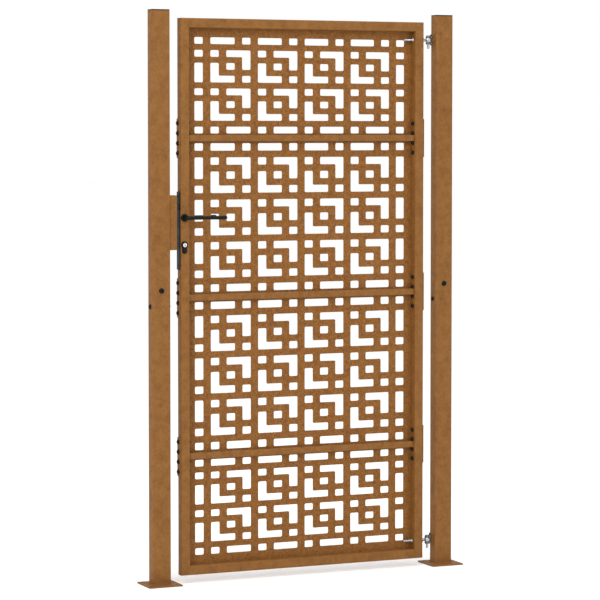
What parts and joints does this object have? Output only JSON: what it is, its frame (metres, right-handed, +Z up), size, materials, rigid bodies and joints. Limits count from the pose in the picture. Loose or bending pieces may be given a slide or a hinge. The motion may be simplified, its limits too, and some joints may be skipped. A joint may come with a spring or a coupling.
{
  "type": "garden gate",
  "caption": "Garden gate of weathering steel: two bolted posts on base plates, a leaf of pierced sheets in a tube frame, a lever lock and eye-bolt hinges.",
  "frame": {"origin": "on the ground, midway between the posts and midway through their depth", "axes": "+X from the lock post towards the hinge post, -Y towards the front, where the leaf opens, +Z up"},
  "size_m": [1.102, 0.112, 1.8],
  "materials": {
    "rust_steel": "weathering steel with a dry orange-brown rust patina",
    "black_steel": "satin black powder coat on steel",
    "zinc_steel": "bright zinc plating",
    "black_plastic": "black moulded plastic",
    "nickel": "satin nickel plating"
  },
  "bodies": {
    "posts": {"lock_post_lower": "rust_steel", "lock_post_upper": "rust_steel", "lock_post_sleeve": "rust_steel", "lock_post_side_bolt": "black_steel", "lock_post_front_bolt": "black_steel", "lock_post_cap": "black_plastic", "hinge_post_lower": "rust_steel", "hinge_post_upper": "rust_steel", "hinge_post_sleeve": "rust_steel", "hinge_post_side_bolt": "black_steel", "hinge_post_front_bolt": "black_steel", "hinge_post_cap": "black_plastic", "keeper": "rust_steel", "lower_hinge_bracket": "zinc_steel", "lower_hinge_pin": "zinc_steel", "upper_hinge_bracket": "zinc_steel", "upper_hinge_pin": "zinc_steel"},
    "leaf": {"lock_stile_1": "rust_steel", "lock_stile_2": "rust_steel", "lock_stile_3": "rust_steel", "lock_stile_4": "rust_steel", "hinge_stile_1": "rust_steel", "hinge_stile_2": "rust_steel", "hinge_stile_3": "rust_steel", "hinge_stile_4": "rust_steel", "bottom_rail": "rust_steel", "top_rail": "rust_steel", "crossbar_1": "rust_steel", "crossbar_2": "rust_steel", "crossbar_3": "rust_steel", "sheet_1": "rust_steel", "sheet_2": "rust_steel", "sheet_3": "rust_steel", "sheet_4": "rust_steel", "lock_splice_plate_1": "rust_steel", "lock_splice_bolts_1": "black_steel", "lock_splice_plate_2": "rust_steel", "lock_splice_bolts_2": "black_steel", "lock_splice_plate_3": "rust_steel", "lock_splice_bolts_3": "black_steel", "hinge_splice_plate_1": "rust_steel", "hinge_splice_bolts_1": "black_steel", "hinge_splice_plate_2": "rust_steel", "hinge_splice_bolts_2": "black_steel", "hinge_splice_plate_3": "rust_steel", "hinge_splice_bolts_3": "black_steel", "lock_case": "black_steel", "lock_cylinder": "black_steel", "front_rose": "black_steel", "rear_rose": "black_steel", "front_cylinder_surround": "black_steel", "rear_cylinder_surround": "black_steel", "lower_hinge_eye_bolt": "zinc_steel", "upper_hinge_eye_bolt": "zinc_steel"},
    "handle": {"spindle": "zinc_steel", "front_lever": "black_steel", "rear_lever": "black_steel"},
    "latch": {"latch": "black_steel"},
    "plug": {"cylinder_plug": "nickel"},
    "deadbolt": {"deadbolt": "black_steel"}
  },
  "joints": [
    {"name": "leaf_swing", "type": "hinge", "parent": "posts", "child": "leaf", "pos_m": [0.445, 0, 0], "axis": [0, 0, 1], "range_deg": [0, 90]},
    {"name": "handle_turn", "type": "hinge", "parent": "leaf", "child": "handle", "pos_m": [-0.4165, 0, 1.1515], "axis": [0, 1, 0], "range_deg": [0, 45], "stiffness_Nm_per_rad": 0.8, "springref_deg": -20.05},
    {"name": "latch_slide", "type": "slide", "parent": "leaf", "child": "latch", "axis": [1, 0, 0], "range_m": [0, 0.008]},
    {"name": "key_turn", "type": "hinge", "parent": "leaf", "child": "plug", "pos_m": [-0.4165, 0, 1.0665], "axis": [0, 1, 0], "range_deg": [0, 360]},
    {"name": "deadbolt_slide", "type": "slide", "parent": "leaf", "child": "deadbolt", "axis": [-1, 0, 0], "range_m": [0, 0.02]}
  ],
  "couplings": [
    {"joint": "latch_slide", "follows": "handle_turn", "m_per_rad": 0.01018},
    {"joint": "key_turn", "follows": "deadbolt_slide", "rad_per_m": 314.1}
  ]
}
